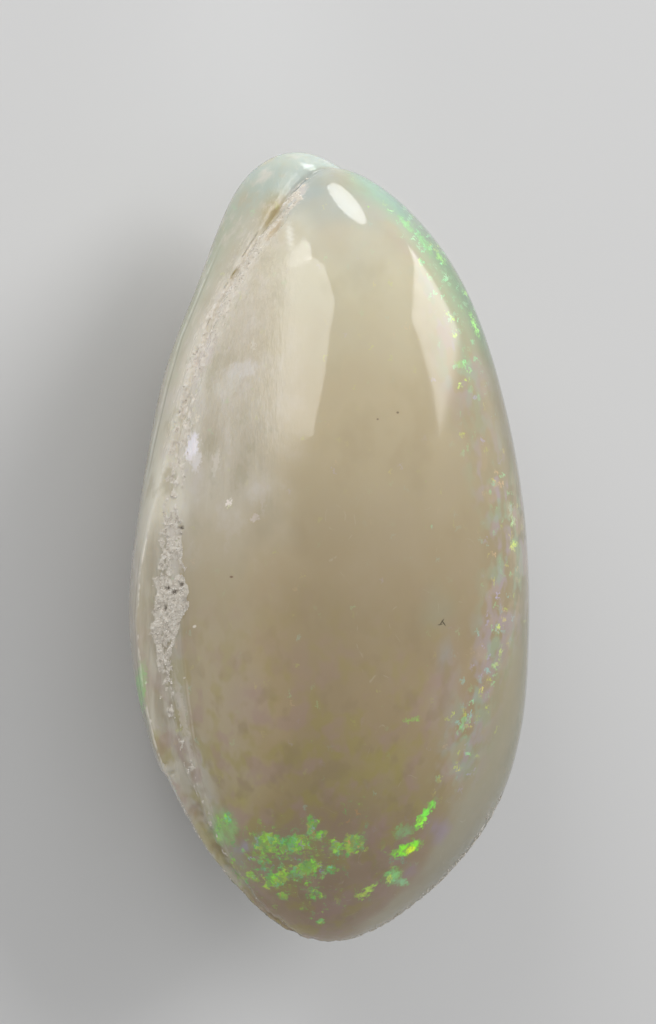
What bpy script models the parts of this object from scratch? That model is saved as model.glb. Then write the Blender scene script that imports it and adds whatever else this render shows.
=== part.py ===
"""Opalised fossil clam: one stone of opal, lying on the worn crown of its lower valve.

Metres, +Z up. The plane between the valves is level, the beaks point to +Y, the hinge
side faces -X and the free margin +X. The origin is the centre of the bounding box at
its base.
"""

import math

import bmesh
import bpy
import numpy as np

MM = 0.001

NAME = "opal_clam"
UPPER_HEIGHT = 9.5
LOWER_HEIGHT = 9.9
UPPER_CROWN = (0.6, 1.0)
LOWER_CROWN = (-0.2, -1.5)
WORN_FLAT_DEPTH = 0.25
# The oval that the valves' outlines round off to towards the crowns: its centre's x and
# y, then its half width and half length.
OVAL = (0.3, -0.2, 10.7, 20.6)

AROUND = 88
ROWS_TO_CROWN = 18
SEAM_ROWS = 2
ROW_SPREAD = 1.15

# The points that guide each valve's edge, clockwise from the beaks as seen from above:
# x, y, z, then how far the valve swells out over the edge there, all in mm, and the power
# of its rise, under 1 for a fuller flank and over 1 for a flatter one.
UPPER_EDGE = (
    (-0.8, 20.35, 0.3, -0.9, 0.96),
    (2.2, 19.9, 0.2, -0.85, 0.84),
    (6.7, 16.05, 0.15, -0.45, 0.91),
    (9.15, 8.9, 0.12, -0.2, 1.02),
    (11.1, 0.6, 0.12, -0.2, 1.0),
    (11.5, -7.6, 0.12, -0.4, 1.0),
    (10.8, -14.0, 0.12, -0.4, 1.0),
    (6.3, -18.9, 0.15, -0.8, 1.0),
    (0.9, -21.6, 0.2, -0.9, 1.0),
    (-2.9, -20.6, 0.3, -0.6, 1.0),
    (-6.1, -17.2, 0.5, -0.4, 1.0),
    (-8.3, -12.6, 0.9, -0.2, 1.0),
    (-9.3, -7.6, 1.2, -0.1, 1.0),
    (-9.6, -2.6, 1.1, 0.0, 1.0),
    (-9.5, 1.8, 0.8, 0.05, 1.12),
    (-9.0, 6.0, 0.4, 0.35, 1.1),
    (-7.8, 10.8, 0.3, 0.5, 1.4),
    (-5.2, 15.2, 0.3, 0.9, 1.4),
    (-2.7, 18.45, 0.3, 0.25, 1.2),
)
LOWER_EDGE = (
    (-0.8, 20.55, -0.3, 2.6, 1.0),
    (2.0, 19.8, -0.2, 0.4, 1.0),
    (6.6, 16.0, -0.15, -0.2, 1.0),
    (9.15, 8.9, -0.12, -0.4, 1.0),
    (11.1, 0.6, -0.12, -0.3, 1.0),
    (11.5, -7.6, -0.12, -0.4, 1.0),
    (10.8, -14.0, -0.12, -0.5, 1.0),
    (6.3, -18.9, -0.15, -0.8, 1.0),
    (0.9, -21.6, -0.2, -0.9, 1.0),
    (-2.9, -20.6, -0.25, -0.7, 1.0),
    (-6.5, -17.0, -0.4, -0.7, 1.0),
    (-9.5, -12.5, -0.9, -0.5, 1.0),
    (-10.7, -7.6, -1.3, -0.3, 1.0),
    (-11.1, -2.6, -1.2, -0.2, 1.0),
    (-10.4, 1.8, -0.7, -0.2, 1.0),
    (-9.3, 6.0, -0.3, 0.0, 1.0),
    (-7.9, 10.8, -0.3, 0.3, 1.0),
    (-5.4, 15.2, -0.3, 0.5, 1.0),
    (-2.7, 18.5, -0.3, 1.9, 1.0),
)
# At the same places: how deep the seam lies below the edges, and how high the chalk
# stands in it, in mm.
SEAM = (
    (0.2, 0.0),
    (0.15, 0.0),
    (0.12, 0.0),
    (0.12, 0.0),
    (0.12, 0.0),
    (0.12, 0.0),
    (0.12, 0.0),
    (0.12, 0.0),
    (0.12, 0.0),
    (0.12, 0.0),
    (0.15, 0.1),
    (0.32, 0.3),
    (0.45, 0.45),
    (0.45, 0.5),
    (0.26, 0.32),
    (0.18, 0.24),
    (0.18, 0.2),
    (0.2, 0.15),
    (0.18, 0.05),
)
# Rows between the two edges, from the lower one up: share of the way across, share of
# the seam's depth and share of the chalk's height.
SEAM_LINES = {-1: (0.28, 1.0, 0.0), 0: (0.52, 0.9, 0.3), 1: (0.77, 0.33, 0.45)}


def along(stations, turn):
    """A point of the closed cubic B-spline that the stations guide, by share of its round."""
    place = turn % 1.0 * len(stations)
    first = math.floor(place)
    f = place - first
    weights = ((1 - f) ** 3, 3 * f**3 - 6 * f**2 + 4, 3 * f + 3 * f**2 - 3 * f**3 + 1, f**3)
    rows = [stations[(first + k - 1) % len(stations)] for k in range(4)]
    return np.dot(weights, rows) / 6


def outwards(stations, turn):
    """The level direction out of the clam, square to the edge."""
    step = along(stations, turn + 0.001) - along(stations, turn - 0.001)
    return np.array((-step[1], step[0])) / math.hypot(step[0], step[1])


def valve_point(stations, crown, height, turn, rise):
    """A point of one valve: rise runs from 0 at its edge to 1 at its crown."""
    x, y, z, swell, power = along(stations, turn)
    angle = rise * math.pi / 2
    reach = math.cos(angle)
    swelling = 3.494 * swell * math.sin(angle) * reach**4
    oval_x = OVAL[0] + OVAL[2] * math.sin(math.tau * turn)
    oval_y = OVAL[1] + OVAL[3] * math.cos(math.tau * turn)
    outline = np.array((x, y)) * reach**2 + np.array((oval_x, oval_y)) * (1 - reach**2)
    level = np.array(crown) + (outline - crown) * reach
    level = level + outwards(stations, turn) * swelling
    return level[0], level[1], z + (height - z) * math.sin(angle) ** power


def seam_point(turn, line):
    """A point of the sunken seam between the edges, with the chalk that stands in it."""
    across, depth_share, chalk_share = SEAM_LINES[line]
    lower = along(LOWER_EDGE, turn)[:3]
    upper = along(UPPER_EDGE, turn)[:3]
    depth, chalk = along(SEAM, turn)
    lumps = 1 + 0.15 * math.sin(97 * turn) + 0.12 * math.sin(173 * turn + 1.0)
    inset = depth * depth_share - chalk * chalk_share * lumps
    point = lower + (upper - lower) * across
    point[:2] -= outwards(UPPER_EDGE, turn) * inset
    return tuple(point)


def clam_point(turn, row):
    if abs(row) < SEAM_ROWS:
        return seam_point(turn, row)
    rise = ((abs(row) - SEAM_ROWS) / ROWS_TO_CROWN) ** ROW_SPREAD
    if row > 0:
        return valve_point(UPPER_EDGE, UPPER_CROWN, UPPER_HEIGHT, turn, rise)
    return valve_point(LOWER_EDGE, LOWER_CROWN, -LOWER_HEIGHT, turn, rise)


for old in list(bpy.data.objects):
    bpy.data.objects.remove(old)

collection = bpy.data.collections.new("opalised_clam")
bpy.context.scene.collection.children.link(collection)

# A globe with its poles at the two crowns, each of its points moved to the clam's skin.
rows = SEAM_ROWS + ROWS_TO_CROWN
body = bmesh.new()
bmesh.ops.create_uvsphere(body, u_segments=AROUND, v_segments=2 * rows, radius=1.0)
for vertex in body.verts:
    x, y, z = vertex.co
    row = round(math.asin(max(-1.0, min(1.0, z))) / (math.pi / 2) * rows)
    turn = (math.pi / 2 - math.atan2(y, x)) / math.tau if abs(row) < rows else 0.0
    vertex.co = [MM * value for value in clam_point(turn, row)]

# The worn flat it rests on.
base = -(LOWER_HEIGHT - WORN_FLAT_DEPTH) * MM
cut = bmesh.ops.bisect_plane(
    body,
    geom=body.verts[:] + body.edges[:] + body.faces[:],
    plane_co=(0, 0, base),
    plane_no=(0, 0, -1),
    clear_outer=True,
)
rim = [item for item in cut["geom_cut"] if isinstance(item, bmesh.types.BMEdge)]
bmesh.ops.holes_fill(body, edges=rim)

lowest = np.min([vertex.co for vertex in body.verts], axis=0)
highest = np.max([vertex.co for vertex in body.verts], axis=0)
middle = (lowest + highest) / 2
bmesh.ops.translate(body, verts=body.verts, vec=(-middle[0], -middle[1], -lowest[2]))
bmesh.ops.recalc_face_normals(body, faces=body.faces)

mesh = bpy.data.meshes.new(NAME)
body.to_mesh(mesh)
body.free()
mesh.shade_smooth()
mesh.set_sharp_from_angle(angle=math.radians(35))

opal = bpy.data.materials.new("milky_opal")
opal.use_nodes = True
skin = opal.node_tree.nodes["Principled BSDF"]
skin.inputs["Base Color"].default_value = (0.47, 0.42, 0.3, 1)
skin.inputs["Roughness"].default_value = 0.18
skin.inputs["IOR"].default_value = 1.45
skin.inputs["Subsurface Weight"].default_value = 0.5
skin.inputs["Subsurface Radius"].default_value = (0.004, 0.0032, 0.002)
mesh.materials.append(opal)

clam = bpy.data.objects.new(NAME, mesh)
collection.objects.link(clam)
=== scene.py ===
"""Looks of the opalised fossil clam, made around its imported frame.

The clam lies on the worn crown of its lower valve with its beaks to the back, and is looked
down on from the hinge's side. Lengths are in mm unless a line says otherwise.
"""

import math

import bpy
import numpy as np
from mathutils import Matrix, Vector, noise


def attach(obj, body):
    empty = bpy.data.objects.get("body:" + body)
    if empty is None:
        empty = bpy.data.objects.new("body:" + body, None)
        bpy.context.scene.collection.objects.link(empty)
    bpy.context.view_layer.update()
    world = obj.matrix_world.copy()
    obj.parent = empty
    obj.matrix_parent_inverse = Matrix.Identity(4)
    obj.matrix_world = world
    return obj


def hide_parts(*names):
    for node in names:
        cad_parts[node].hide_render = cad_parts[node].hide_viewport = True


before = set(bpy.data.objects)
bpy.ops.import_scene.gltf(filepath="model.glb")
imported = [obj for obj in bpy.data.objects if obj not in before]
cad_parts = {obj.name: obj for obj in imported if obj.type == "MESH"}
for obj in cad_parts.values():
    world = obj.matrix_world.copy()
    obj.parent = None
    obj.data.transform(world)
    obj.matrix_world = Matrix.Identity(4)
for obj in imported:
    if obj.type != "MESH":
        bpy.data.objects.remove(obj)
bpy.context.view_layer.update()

MM = 0.001

# Camera, floor and lights.
# A long lens looks down at 60 degrees on the upper valve. The floor is plain pale card under
# two tall soft boxes, one with a narrower head, a small oval one close behind the beaks and a
# pale room.

middle = Vector((-0.199, 0.055, 9.65))  # the level of the seam, under the upper crown
lean = math.radians(30)
right = Vector((math.cos(lean), 0, math.sin(lean)))
up = Vector((0, 1, 0))
back = Vector((-math.sin(lean), 0, math.cos(lean)))
PIXEL = 42 / 790  # the stone is 42 mm and 790 rows of the picture long
PICTURE_ROWS = 1024
FOCAL, FILM = 200, 36

lens = bpy.data.cameras.new("camera")
lens.lens = FOCAL
lens.sensor_width = FILM
lens.sensor_fit = "VERTICAL"
lens.sensor_height = FILM
lens.clip_start = 0.01
camera = bpy.data.objects.new("camera", lens)
bpy.context.scene.collection.objects.link(camera)
centre = middle + (right * -2 + up * 33) * PIXEL
seat = Matrix((right, up, back)).transposed().to_4x4()
seat.translation = (centre + back * (FOCAL / FILM * PICTURE_ROWS * PIXEL)) * MM
camera.matrix_world = seat
bpy.context.scene.camera = camera
bpy.context.scene.view_settings.view_transform = "Standard"


def soft_box(name, corner, across, tall, distance, radiance, shape="RECTANGLE", spread=180):
    """A soft box some metres away.

    Its corner and two sides are in the camera's right, up and back, and as large as they look
    from the clam at a distance of 1.
    """
    corner, across, tall = (
        right * v[0] + up * v[1] + back * v[2] for v in (corner, across, tall)
    )
    heading = (corner + across / 2 + tall / 2).normalized()
    side_y = (tall - heading * tall.dot(heading)).normalized()
    side_x = side_y.cross(heading)
    light = bpy.data.lights.new(name, "AREA")
    light.shape = shape
    light.size = abs(across.dot(side_x)) * distance
    light.size_y = tall.dot(side_y) * distance
    filled = math.pi / 4 if shape == "ELLIPSE" else 1
    light.energy = radiance * math.pi * light.size * light.size_y * filled
    light.spread = math.radians(spread)
    box = bpy.data.objects.new(name, light)
    bpy.context.scene.collection.objects.link(box)
    turned = Matrix((side_x, side_y, heading)).transposed().to_4x4()
    turned.translation = middle * MM + heading * distance
    box.matrix_world = turned


FAR, CLOSE = 0.5, 0.045
soft_box("left_box", (-0.477, 0.356, 0.742), (0.471, -0.115, 0.083), (-0.006, 0.686, -0.334), FAR, 4.2)
soft_box("left_box_tip", (-0.648, 1.082, 0.379), (0.377, -0.092, 0.066), (-0.003, 0.309, -0.150), FAR, 5.8)
soft_box("right_box", (0.392, 0.709, -0.367), (1.07, 0.05, 0.149), (0.463, 0.073, 0.854), FAR, 5.2)
soft_box(
    "back_box", (-0.150, 1.0, -0.0995), (0.158, 0.0, -0.0910), (0.228, 0.0, 0.320), CLOSE, 1.05,
    "ELLIPSE", 70,
)

room = bpy.data.worlds.new("room")
bpy.context.scene.world = room
room.use_nodes = True
room.node_tree.nodes["Background"].inputs["Color"].default_value = (0.5, 0.5, 0.5, 1)

card = bpy.data.materials.new("pale_card")
card.use_nodes = True
card.node_tree.nodes["Principled BSDF"].inputs["Base Color"].default_value = (0.6, 0.6, 0.6, 1)
card.node_tree.nodes["Principled BSDF"].inputs["Roughness"].default_value = 0.8
sheet = bpy.data.meshes.new("floor")
sheet.from_pydata([(-2, -2, 0), (2, -2, 0), (2, 2, 0), (-2, 2, 0)], [], [(0, 1, 2, 3)])
sheet.materials.append(card)
floor = bpy.data.objects.new("floor", sheet)
bpy.context.scene.collection.objects.link(floor)

# The clam.
# One stone of milky opal that took the place of the shell and what filled it. Its faces are
# worn and polished; the seam between the valves is left rough, with sugary white chalk in it.

# The points that guide each valve's edge, clockwise from the beaks as seen from above:
# x, y, z, then how far the valve swells out over the edge there, and the power of its rise.
UPPER_EDGE = np.array((
    (-0.8, 20.35, 0.3, -0.9, 0.96), (2.2, 19.9, 0.2, -0.85, 0.84),
    (6.7, 16.05, 0.15, -0.45, 0.91), (9.15, 8.9, 0.12, -0.2, 1.02),
    (11.1, 0.6, 0.12, -0.2, 1.0), (11.5, -7.6, 0.12, -0.4, 1.0),
    (10.8, -14.0, 0.12, -0.4, 1.0), (6.3, -18.9, 0.15, -0.8, 1.0),
    (0.9, -21.6, 0.2, -0.9, 1.0), (-2.9, -20.6, 0.3, -0.6, 1.0),
    (-6.1, -17.2, 0.5, -0.4, 1.0), (-8.3, -12.6, 0.9, -0.2, 1.0),
    (-9.3, -7.6, 1.2, -0.1, 1.0), (-9.6, -2.6, 1.1, 0.0, 1.0),
    (-9.5, 1.8, 0.8, 0.05, 1.12), (-9.0, 6.0, 0.4, 0.35, 1.1),
    (-7.8, 10.8, 0.3, 0.5, 1.4), (-5.2, 15.2, 0.3, 0.9, 1.4),
    (-2.7, 18.45, 0.3, 0.25, 1.2),
))
LOWER_EDGE = np.array((
    (-0.8, 20.55, -0.3, 2.6, 1.0), (2.0, 19.8, -0.2, 0.4, 1.0),
    (6.6, 16.0, -0.15, -0.2, 1.0), (9.15, 8.9, -0.12, -0.4, 1.0),
    (11.1, 0.6, -0.12, -0.3, 1.0), (11.5, -7.6, -0.12, -0.4, 1.0),
    (10.8, -14.0, -0.12, -0.5, 1.0), (6.3, -18.9, -0.15, -0.8, 1.0),
    (0.9, -21.6, -0.2, -0.9, 1.0), (-2.9, -20.6, -0.25, -0.7, 1.0),
    (-6.5, -17.0, -0.4, -0.7, 1.0), (-9.5, -12.5, -0.9, -0.5, 1.0),
    (-10.7, -7.6, -1.3, -0.3, 1.0), (-11.1, -2.6, -1.2, -0.2, 1.0),
    (-10.4, 1.8, -0.7, -0.2, 1.0), (-9.3, 6.0, -0.3, 0.0, 1.0),
    (-7.9, 10.8, -0.3, 0.3, 1.0), (-5.4, 15.2, -0.3, 0.5, 1.0),
    (-2.7, 18.5, -0.3, 1.9, 1.0),
))
# At the same places: how deep the seam lies below the edges and how high chalk stands in it.
SEAM = np.array((
    (0.2, 0.0), (0.15, 0.0), (0.12, 0.0), (0.12, 0.0), (0.12, 0.0), (0.12, 0.0),
    (0.12, 0.0), (0.12, 0.0), (0.12, 0.0), (0.12, 0.0), (0.15, 0.1), (0.32, 0.3),
    (0.45, 0.45), (0.45, 0.5), (0.26, 0.32), (0.18, 0.24), (0.18, 0.2), (0.2, 0.15),
    (0.18, 0.05),
))
UPPER_CROWN, LOWER_CROWN = (0.6, 1.0, 9.5), (-0.2, -1.5, -9.9)
OVAL = (0.3, -0.2, 10.7, 20.6)

# Where the chalk lies, from the low end of the hinge's side to the beaks: how far along,
# the middle of the chalk above the middle of the seam, its half width, and how much of it
# is left.
CHALK = np.array((
    (-21.0, 0.0, 0.10, 0.2), (-17.0, 0.3, 0.20, 0.35), (-14.0, 0.5, 0.25, 0.35),
    (-11.0, 0.45, 0.40, 0.40), (-8.0, -0.05, 0.45, 0.45), (-6.5, 0.05, 0.55, 0.55),
    (-5.2, 0.15, 0.75, 0.70), (-4.2, 0.20, 1.05, 0.88), (-3.2, 0.72, 1.20, 0.97),
    (-2.2, 0.85, 1.30, 1.0), (-1.7, 0.60, 1.15, 0.55), (-0.9, 0.55, 0.95, 0.50),
    (-0.4, 0.65, 0.80, 0.75), (0.4, 0.45, 0.85, 0.65), (1.2, 0.40, 0.70, 0.60),
    (2.0, 0.25, 0.60, 0.42), (4.0, 0.25, 0.75, 0.46), (6.0, 0.30, 0.90, 0.48),
    (7.6, 0.3, 0.90, 0.56), (8.4, 0.2, 0.85, 0.50), (9.6, 0.20, 1.05, 0.58),
    (10.6, 0.45, 1.20, 0.50), (12.0, 0.55, 1.30, 0.54), (13.4, 0.65, 1.20, 0.62),
    (14.6, 0.85, 1.10, 0.76), (15.6, 0.80, 1.00, 0.74), (16.2, 0.80, 0.60, 0.75),
    (17.4, 0.90, 0.35, 0.75), (17.9, 0.85, 0.75, 0.75), (18.7, 0.65, 0.75, 0.60),
    (19.6, 0.2, 0.25, 0.30), (21.0, 0.0, 0.08, 0.10),
))
# Hollows and pits seen from the camera: right of and above the middle, half length, half
# width, how far the long way is turned, and depth.
HOLLOWS = (
    (-2.75, 17.20, 0.95, 0.45, 60, 0.12), (-2.95, 16.60, 0.40, 0.20, 55, 0.06),
    (-4.98, 14.30, 0.42, 0.17, 60, 0.13), (-4.44, 14.56, 0.09, 0.09, 0, 0.22),
    (-7.00, 10.30, 0.16, 0.08, 80, 0.18), (-1.22, 15.75, 0.80, 0.10, 110, 0.03),
    (-1.25, 14.85, 0.13, 0.10, 0, 0.12), (-8.00, 7.00, 0.12, 0.10, 0, 0.15),
    (-8.20, 6.30, 0.22, 0.09, 75, 0.15), (-7.80, 0.94, 0.14, 0.12, 0, 0.16),
    (-7.74, -2.05, 0.17, 0.12, 20, 0.16), (-8.12, -2.45, 0.20, 0.14, 50, 0.16),
    (-8.49, -2.25, 0.14, 0.10, 0, 0.14), (-8.60, -3.30, 0.12, 0.16, 0, 0.12),
    (-8.30, -11.95, 0.14, 0.10, 40, 0.18), (-8.70, -11.50, 0.12, 0.10, 0, 0.15),
)
# The line of colour down the free side of the upper valve, and the fine groove along the
# lower valve's flank, both as the camera sees them: above the middle, right of it.
COLOUR_LINE = np.array((
    (-22.0, 0.5), (-19.8, 1.6), (-18.7, 3.0), (-17.7, 4.15), (-16.2, 5.0), (-14.5, 5.9),
    (-12.5, 6.7), (-10.2, 7.34), (-6.0, 8.45), (-3.9, 9.2), (-0.3, 9.65), (1.6, 9.6),
    (3.2, 9.0), (8.0, 7.5), (13.4, 6.5), (16.0, 5.24), (17.8, 3.67), (19.0, 1.5),
))
GROOVE = np.array((
    (2.0, -9.9), (5.3, -9.25), (8.3, -8.55), (11.0, -7.8), (13.3, -6.85), (16.5, -5.55),
    (19.0, -3.9),
))

# The colour under the polish by height in the picture: above the middle, red, green, blue.
# The third table is the free side of the upper valve, past its line of colour.
UPPER_TONES = np.array((
    (-22.0, 0.345, 0.285, 0.20), (-19.0, 0.345, 0.265, 0.18), (-16.5, 0.35, 0.26, 0.165),
    (-12.8, 0.36, 0.29, 0.15), (-9.0, 0.385, 0.30, 0.178), (-4.0, 0.375, 0.30, 0.182),
    (-0.8, 0.40, 0.325, 0.205), (2.4, 0.435, 0.365, 0.24), (7.6, 0.495, 0.425, 0.285),
    (11.3, 0.515, 0.465, 0.33), (13.5, 0.51, 0.475, 0.35), (16.2, 0.475, 0.455, 0.36),
    (18.4, 0.335, 0.375, 0.35),
))
LOWER_TONES = np.array((
    (-22.0, 0.275, 0.275, 0.20), (-17.0, 0.30, 0.315, 0.24), (-14.0, 0.47, 0.44, 0.37),
    (-9.0, 0.39, 0.385, 0.315), (-4.4, 0.41, 0.382, 0.332), (-0.9, 0.46, 0.43, 0.37),
    (1.8, 0.58, 0.56, 0.47), (4.4, 0.60, 0.58, 0.48), (11.0, 0.50, 0.50, 0.385),
    (16.3, 0.385, 0.425, 0.315), (20.0, 0.385, 0.445, 0.41),
))
FREE_SIDE_TONES = np.array((
    (-14, 0.39, 0.36, 0.26), (-10, 0.37, 0.345, 0.235), (-6, 0.355, 0.32, 0.20),
    (1, 0.35, 0.305, 0.185), (6, 0.38, 0.33, 0.22),
))
# Patches where the opal plays green: right, above, half length, half width, turned, amount.
PLAY = (
    (-5.45, -14.25, 0.40, 0.25, 5, 0.55), (-5.90, -14.80, 0.65, 0.20, 80, 0.5),
    (-3.40, -15.50, 0.80, 0.50, 10, 0.85), (-1.95, -15.55, 0.75, 0.45, 8, 1.0),
    (-2.90, -15.20, 1.60, 0.22, 3, 0.7), (-1.07, -14.45, 0.70, 0.26, 85, 1.0),
    (-0.50, -14.92, 0.45, 0.20, 5, 1.0), (0.22, -15.68, 0.30, 0.42, 0, 0.9),
    (1.20, -15.50, 0.85, 0.50, 30, 0.75), (-2.70, -17.50, 1.00, 0.36, 15, 0.95),
    (-1.40, -17.00, 1.00, 0.36, 28, 1.0), (-3.55, -16.50, 0.45, 0.40, 60, 0.6),
    (-4.10, -17.30, 0.40, 0.30, 0, 0.5), (-2.45, -18.45, 0.26, 0.18, 0, 0.85),
    (0.00, -17.00, 0.55, 0.22, 20, 0.65), (-0.75, -18.30, 0.60, 0.35, 15, 0.55),
    (-0.45, -19.90, 0.30, 0.14, 0, 0.7), (-1.30, -19.10, 0.20, 0.14, 0, 0.6),
    (-2.30, -16.40, 3.50, 2.20, 8, 0.4), (-0.60, -18.60, 2.4, 1.3, 10, 0.22),
    (3.40, -16.30, 1.60, 1.00, 50, 0.2), (1.3, -13.9, 1.0, 0.8, 40, 0.25),
)
# Soft patches of other colours, all but one there too: the same, then red, green and blue. The one by the
# upper beak is a pale streak of painted highlight.
STAINS_AND_HIGHLIGHT = (
    (-4.85, -13.35, 0.75, 0.65, 60, 0.55, 0.42, 0.37, 0.12),
    (-4.30, -15.75, 0.80, 0.32, 15, 0.7, 0.40, 0.38, 0.50),
    (-5.60, -14.80, 0.70, 1.00, 0, 0.85, 0.345, 0.425, 0.25),
    # A painted highlight: a pale streak that carries the left soft box's reflection up towards the upper
    # beak.
    (-2.10, 16.2, 0.80, 0.15, 97, 0.75, 0.72, 0.71, 0.64),
    (0.40, -18.60, 0.75, 0.60, 0, 0.6, 0.38, 0.24, 0.27),
    (5.60, -14.95, 0.65, 0.60, 0, 0.65, 0.36, 0.29, 0.38),
    (4.05, -17.05, 0.60, 0.45, 20, 0.6, 0.35, 0.26, 0.30),
    (2.70, -15.60, 1.40, 1.00, 30, 0.5, 0.37, 0.26, 0.23),
    (6.35, -11.80, 0.45, 0.50, 0, 0.6, 0.46, 0.37, 0.48),
    (-4.20, -8.30, 1.10, 1.60, 0, 0.4, 0.43, 0.33, 0.29),
    (6.00, -7.60, 0.80, 2.20, -8, 0.4, 0.42, 0.33, 0.34),
    (2.90, -11.30, 1.50, 0.80, 20, 0.5, 0.38, 0.33, 0.10),
    (1.20, -12.30, 1.30, 0.70, 0, 0.4, 0.36, 0.31, 0.11),
    (5.60, -3.40, 1.00, 1.00, 0, 0.35, 0.35, 0.36, 0.26),
    (6.00, -5.60, 0.65, 0.35, 0, 0.5, 0.33, 0.34, 0.33),
    (-0.70, -19.20, 0.60, 0.50, 0, 0.5, 0.38, 0.24, 0.22),
    (-5.30, -16.40, 0.60, 1.10, 35, 0.5, 0.33, 0.335, 0.27),
)

COLUMNS = 880
CROSS_ROWS = 24


def along(stations, turn):
    """Points of the closed cubic B-spline that the stations guide, by share of its round."""
    place = turn % 1.0 * len(stations)
    first = np.floor(place).astype(int)
    f = place - first
    weights = ((1 - f) ** 3, 3 * f**3 - 6 * f**2 + 4, 3 * f + 3 * f**2 - 3 * f**3 + 1, f**3)
    return sum(
        weights[k][:, None] * stations[(first + k - 1) % len(stations)] for k in range(4)
    ) / 6


def outwards(stations, turn):
    """The level way out of the stone, across the line that the stations guide."""
    step = along(stations, turn + 0.001) - along(stations, turn - 0.001)
    return np.stack((-step[:, 1], step[:, 0]), -1) / np.hypot(step[:, 0], step[:, 1])[:, None]


def smooth(value, low, high):
    """0 at low and below, 1 at high and above, smooth between; falling if low > high."""
    share = np.clip((value - low) / (high - low), 0, 1)
    return share * share * (3 - 2 * share)


FULLEST = 3.494  # brings sine * reach**4 to 1 where that is largest


def valve_ring(stations, crown, turn, rise):
    """A ring of one valve: rise runs from 0 at its edge to 1 at its crown."""
    x, y, z, swell, power = along(stations, turn).T
    sine, reach = math.sin(rise * math.pi / 2), math.cos(rise * math.pi / 2)
    oval = np.stack((
        OVAL[0] + OVAL[2] * np.sin(math.tau * turn),
        OVAL[1] + OVAL[3] * np.cos(math.tau * turn),
    ), -1)
    outline = np.stack((x, y), -1) * reach**2 + oval * (1 - reach**2)
    level = np.array(crown[:2]) + (outline - crown[:2]) * reach
    level += outwards(stations, turn) * (FULLEST * swell * sine * reach**4)[:, None]
    return np.column_stack((level, z + (crown[2] - z) * sine**power))


def seam_ring(turn, across):
    """A ring of the sunken seam, by its share of the way from the lower edge to the upper."""
    lower, upper = along(LOWER_EDGE, turn)[:, :3], along(UPPER_EDGE, turn)[:, :3]
    depth, chalk = along(SEAM, turn).T
    inset = depth * smooth(across, 0, 0.18) * (1 - smooth(across, 0.4, 1))
    inset -= chalk * 0.55 * math.exp(-(((across - 0.68) / 0.2) ** 2))
    point = lower + (upper - lower) * across
    point[:, :2] -= outwards(UPPER_EDGE, turn) * inset[:, None]
    return point


def ridge(off, half):
    """1 on a line and falling away on both sides of it, like a bell."""
    return np.exp(-((off / half) ** 2))


def far_out(off_u, off_v, long, wide, turned):
    """How far a point lies out of an oval: 0 in its middle and 1 on its edge."""
    angle = math.radians(turned)
    a = (off_u * math.cos(angle) + off_v * math.sin(angle)) / long
    b = (off_v * math.cos(angle) - off_u * math.sin(angle)) / wide
    return np.hypot(a, b)


def grain(points, size, seed, where=None):
    """Soft noise from about -1 to 1, with lumps of this size."""
    found = np.zeros(len(points))
    chosen = np.arange(len(points)) if where is None else np.flatnonzero(where)
    found[chosen] = [noise.noise(p) for p in (points[chosen] / size + seed).tolist()]
    return found


share = np.arange(COLUMNS) / COLUMNS
turns = share - 0.5 * np.sin(math.tau * (share - 0.7)) / math.tau  # closest on the hinge side
# Rows stand close together by the edges. Further off they are wider apart, with fewer points.
steps = [0.007] * 14 + [0.0145] * 21 + [0.025] * 14 + [0.035] * 5 + [0.03] * 2
skips = [1] * 15 + [2] * 21 + [4] * 14 + [8] * 5 + [16] * 2
rises = np.concatenate(([0.0], np.cumsum(steps)))
rings, spacing = [], []
for rise, gap in zip(rises[::-1], skips[::-1]):
    rings.append(valve_ring(LOWER_EDGE, LOWER_CROWN, turns, rise))
    spacing.append(gap)
lower_edge_ring = len(rings) - 1
for k in range(CROSS_ROWS):
    rings.append(seam_ring(turns, (k + 1) / (CROSS_ROWS + 1)))
    spacing.append(1)
upper_edge_ring = len(rings)
for rise, gap in zip(rises, skips):
    rings.append(valve_ring(UPPER_EDGE, UPPER_CROWN, turns, rise))
    spacing.append(gap)
grid = np.array(rings)

# On the hinge's side the worn upper edge runs softly into the seam.
worn_edge = (smooth(turns % 1.0, 0.46, 0.55) * smooth(turns % 1.0, 0.97, 0.9))[:, None]
near_edge = slice(upper_edge_ring - 11, upper_edge_ring + 12)
for _ in range(30):
    between = (np.roll(grid, 1, 0) + np.roll(grid, -1, 0)) / 2
    grid[near_edge] += 0.5 * worn_edge * (between - grid)[near_edge]

# The way out of the stone at each point, and how far each lies from the two edges.
by_row = np.gradient(grid, axis=0)
by_column = np.roll(grid, -1, 1) - np.roll(grid, 1, 1)
normals = np.cross(by_row, by_column)
normals /= np.linalg.norm(normals, axis=2, keepdims=True)
travelled = np.zeros(grid.shape[:2])
travelled[1:] = np.cumsum(np.linalg.norm(np.diff(grid, axis=0), axis=2), axis=0)
over_upper = travelled - travelled[upper_edge_ring]
under_lower = travelled[lower_edge_ring] - travelled

points, normals = grid.reshape(-1, 3), normals.reshape(-1, 3)
over_upper, under_lower = over_upper.ravel(), under_lower.ravel()
turn = np.tile(turns % 1.0, len(rings))
off_seam = (over_upper - under_lower) / 2
seen_u, seen_v = points @ np.array(right), points @ np.array(up)
facing = normals @ np.array(back)
hinge_side = smooth(turn, 0.46, 0.52) * smooth(turn, 1.0, 0.985)
near = np.abs(off_seam) < 3.2  # as far as the roughness of the seam reaches

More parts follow.
